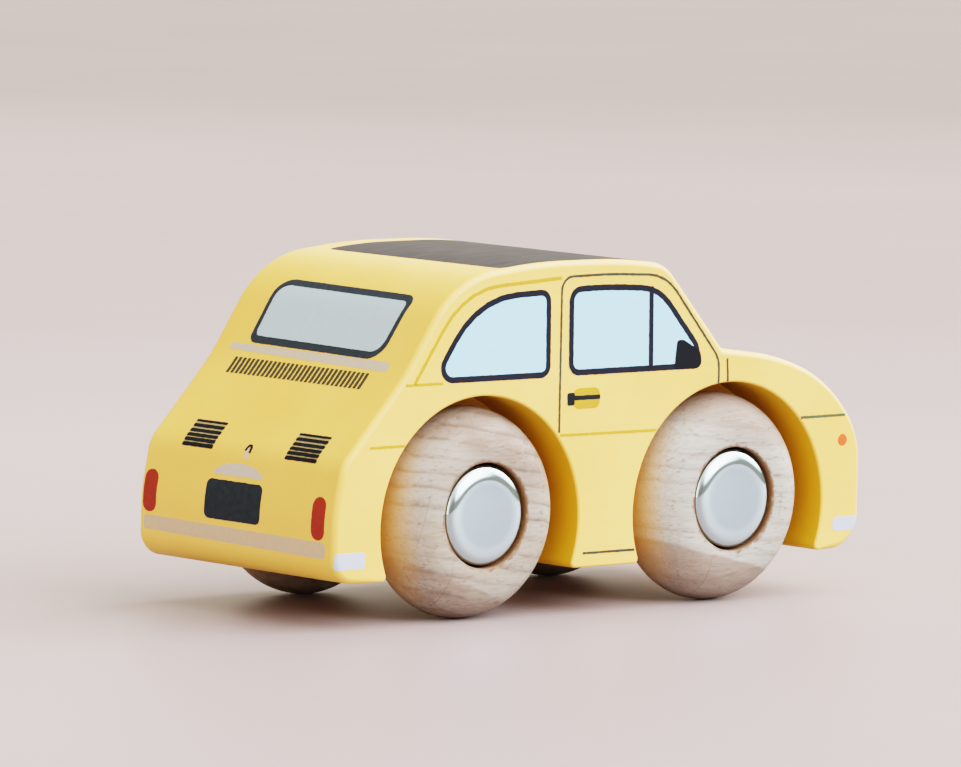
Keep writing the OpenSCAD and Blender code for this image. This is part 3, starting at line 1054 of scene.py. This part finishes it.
ROOF_SIDES, ROOF_ENDS, ROOF_ROUND = (-18.3, 15.0), (2.9, 26.5), 1.1


def print_roof():
    """Dark panel on the roof."""
    rear, front = (roof_s(x) for x in ROOF_ENDS)
    panel = bar(ROOF_SIDES[0], rear, ROOF_SIDES[1], front, ROOF_ROUND)
    print_skin("roof_panel", [panel], ROOF, LIFT_GLASS)


# Print on the nose: places across the car and heights above the ground, the same on both halves

SCREEN = ((14.6, 33.2, 1.6), (13.2, 41.0, 2.2), (-13.2, 41.0, 2.2), (-14.6, 33.2, 1.6))
HEADLAMPS, HEADLAMP_HEIGHT, HEADLAMP_RADIUS, HEADLAMP_RIM = (12.2, -12.2), 20.6, 2.6, 3.1
FRONT_LAMPS, FRONT_LAMP_HEIGHT, FRONT_LAMP_RADIUS = (12.8, -12.8), 15.2, 1.0
FRONT_BUMPER_HALF, FRONT_BUMPER_LEVELS, FRONT_BUMPER_ROUND = 17.2, (10.8, 8.9), 0.5


def print_nose():
    """Windscreen, lamps and bumper."""
    screen = rounded([(y, nose_s(z), radius) for y, z, radius in SCREEN])
    print_skin("windscreen_pane", [grown(screen, -FRAME_WIDTH / 2)], SKY, LIFT_GLASS)
    print_skin("windscreen_frame", [screen, grown(screen, -FRAME_WIDTH)], NAVY, LIFT_FRAME)
    level, lower = nose_s(HEADLAMP_HEIGHT), nose_s(FRONT_LAMP_HEIGHT)
    print_skin("headlamp_rims", [disc(y, level, HEADLAMP_RIM) for y in HEADLAMPS], REAR_NAVY, LIFT_GLASS)
    print_skin("headlamps", [disc(y, level, HEADLAMP_RADIUS) for y in HEADLAMPS], GREY_GLASS, LIFT_FRAME)
    lamps = [disc(y, lower, FRONT_LAMP_RADIUS) for y in FRONT_LAMPS]
    print_skin("front_lamps", lamps, ORANGE, LIFT_FRAME)
    top, bottom = (nose_s(z) for z in FRONT_BUMPER_LEVELS)
    bumper = bar(-FRONT_BUMPER_HALF, top, FRONT_BUMPER_HALF, bottom, FRONT_BUMPER_ROUND)
    print_skin("front_bumper", [bumper], TAN, LIFT_GLASS)


# Camera, floor and light

CAMERA_YAW, CAMERA_PITCH, CAMERA_ROLL = -40.31, 5.22, 1.21
CAMERA_DISTANCE = 1098.7
CAMERA_TARGET = (-4.13, 0, 26.78)
FOCAL_PIXELS, IMAGE_WIDTH = 8862, 961
SENSOR_WIDTH = 36
CLIP_END = 20000


def make_camera():
    """Camera at the photograph's viewing angle."""
    yaw, pitch, roll = (math.radians(a) for a in (CAMERA_YAW, CAMERA_PITCH, CAMERA_ROLL))
    back = Vector((math.sin(yaw) * math.cos(pitch), -math.cos(yaw) * math.cos(pitch), math.sin(pitch)))
    level = Vector((math.cos(yaw), math.sin(yaw), 0))
    upright = back.cross(level)
    right = level * math.cos(roll) + upright * math.sin(roll)
    up = upright * math.cos(roll) - level * math.sin(roll)
    lens = bpy.data.cameras.new("photo_camera")
    lens.sensor_width = SENSOR_WIDTH
    lens.lens = FOCAL_PIXELS * lens.sensor_width / IMAGE_WIDTH
    lens.clip_end = CLIP_END * MM
    camera = bpy.data.objects.new("photo_camera", lens)
    camera.matrix_world = Matrix((right, up, back)).transposed().to_4x4()
    camera.location = (Vector(CAMERA_TARGET) + back * CAMERA_DISTANCE) * MM
    bpy.context.scene.collection.objects.link(camera)
    bpy.context.scene.camera = camera


FLOOR_HALF = 6000
# Painted pool of light on the floor: its colours darken with distance from the car over this reach
FLOOR_POOL_FADE = 1500
FLOOR_POOL_LIT, FLOOR_POOL_HALF_LIT, FLOOR_POOL_DIM = srgb(150, 137, 139), srgb(139, 124, 127), srgb(118, 104, 105)


def make_floor():
    """Pale floor with a faint gloss and a painted pool of light: brighter near the car, darker far from it.
    """
    surface = Surface("pale_floor", 0.5, specular=0.15)
    length = surface.add("ShaderNodeVectorMath", operation="LENGTH")
    surface.feed(length.inputs[0], surface.place((1, 1, 1)))
    clouds = surface.noise(surface.place(FLOOR_CLOUDS), detail=3)
    share = surface.span(length.outputs["Value"], 0, FLOOR_POOL_FADE * MM, 0, 1)
    away = surface.sum("MULTIPLY_ADD", clouds, 0.04, share)
    # Painted pool of light: brighter near the car, darker away from it
    surface.colour(surface.ramp(away, [
        (0.15, FLOOR_POOL_LIT), (0.32, FLOOR_POOL_HALF_LIT), (0.55, FLOOR_POOL_HALF_LIT), (0.72, FLOOR_POOL_DIM),
    ]))
    surface.roughness(surface.span(clouds, 0.3, 0.7, 0.48, 0.52))
    corners = [(x * FLOOR_HALF, y * FLOOR_HALF, 0) for x, y in ((-1, -1), (1, -1), (1, 1), (-1, 1))]
    floor = new_object("floor", corners, [(0, 1, 2, 3)], surface.material, smooth=False)


# Round soft lights in degrees: azimuth from the car's right towards its nose, height, strength,
# and the angles from the middle where the light is still full and where it has ended
NEAR_LIGHTS = (
    (-40, 42, 1.0, 12, 40), (20, 42, 2.0, 12, 40), (80, 42, 5.5, 12, 40),
    (20, 27, 6.4, 8, 28), (80, 27, 5.5, 8, 28), (0, 90, 1.4, 12, 40),
)
FAR_LIGHTS = (
    (260, 42, 0.4, 12, 40), (262, 4, 1.5, 6, 24),
    (140, 12, 1.95, 8, 30), (200, 12, 0.4, 8, 30), (-60, 6, 3.0, 8, 30),
)
# The far lights and the room are warmer. The near lights end above the horizon, between two sines of height
FAR_TINT = (1, 0.87, 0.69)
NEAR_HORIZON = (0.1, 0.19)
ROOM_LIGHT = 0.41


def soft_light(nodes, way, azimuth, height, strength, full, none):
    """Light from one direction that fades out between two angles from its middle."""
    turn, rise = math.radians(azimuth), math.radians(height)
    towards = nodes.add("ShaderNodeVectorMath", operation="DOT_PRODUCT")
    nodes.feed(towards.inputs[0], way)
    towards.inputs[1].default_value = (
        math.sin(turn) * math.cos(rise), -math.cos(turn) * math.cos(rise), math.sin(rise)
    )
    edge, middle = math.cos(math.radians(none)), math.cos(math.radians(full))
    return nodes.span(towards.outputs["Value"], edge, middle, 0, strength)


def make_studio():
    """Large soft lights round the car in a dim room, the strongest ahead of it on the right."""
    world = bpy.data.worlds.new("studio")
    bpy.context.scene.world = world
    world.use_nodes = True
    nodes = Nodes(world.node_tree)
    way = nodes.add("ShaderNodeTexCoord").outputs["Generated"]
    near, far = 0.0, ROOM_LIGHT
    for light in NEAR_LIGHTS:
        near = nodes.sum("ADD", soft_light(nodes, way, *light), near)
    for light in FAR_LIGHTS:
        far = nodes.sum("ADD", soft_light(nodes, way, *light), far)
    height = nodes.fill(nodes.add("ShaderNodeSeparateXYZ"), Vector=way).outputs["Z"]
    near = nodes.sum("MULTIPLY", near, nodes.span(height, *NEAR_HORIZON, 0, 1))
    total = nodes.add("ShaderNodeVectorMath", operation="MULTIPLY_ADD")
    for socket, source in zip(total.inputs, (far, FAR_TINT, near)):
        nodes.feed(socket, source)
    nodes.feed(world.node_tree.nodes["Background"].inputs["Color"], total.outputs["Vector"])
    bpy.context.scene.view_settings.view_transform = "Filmic"
    bpy.context.scene.view_settings.look = "High Contrast"


make_camera()
make_block()
for wheel_name in WHEEL_GRAIN:
    make_wheel(wheel_name)
dress_hidden_metal()
for car_side in (1, -1):
    print_side(car_side)
print_tail()
print_roof()
print_nose()
make_floor()
make_studio()
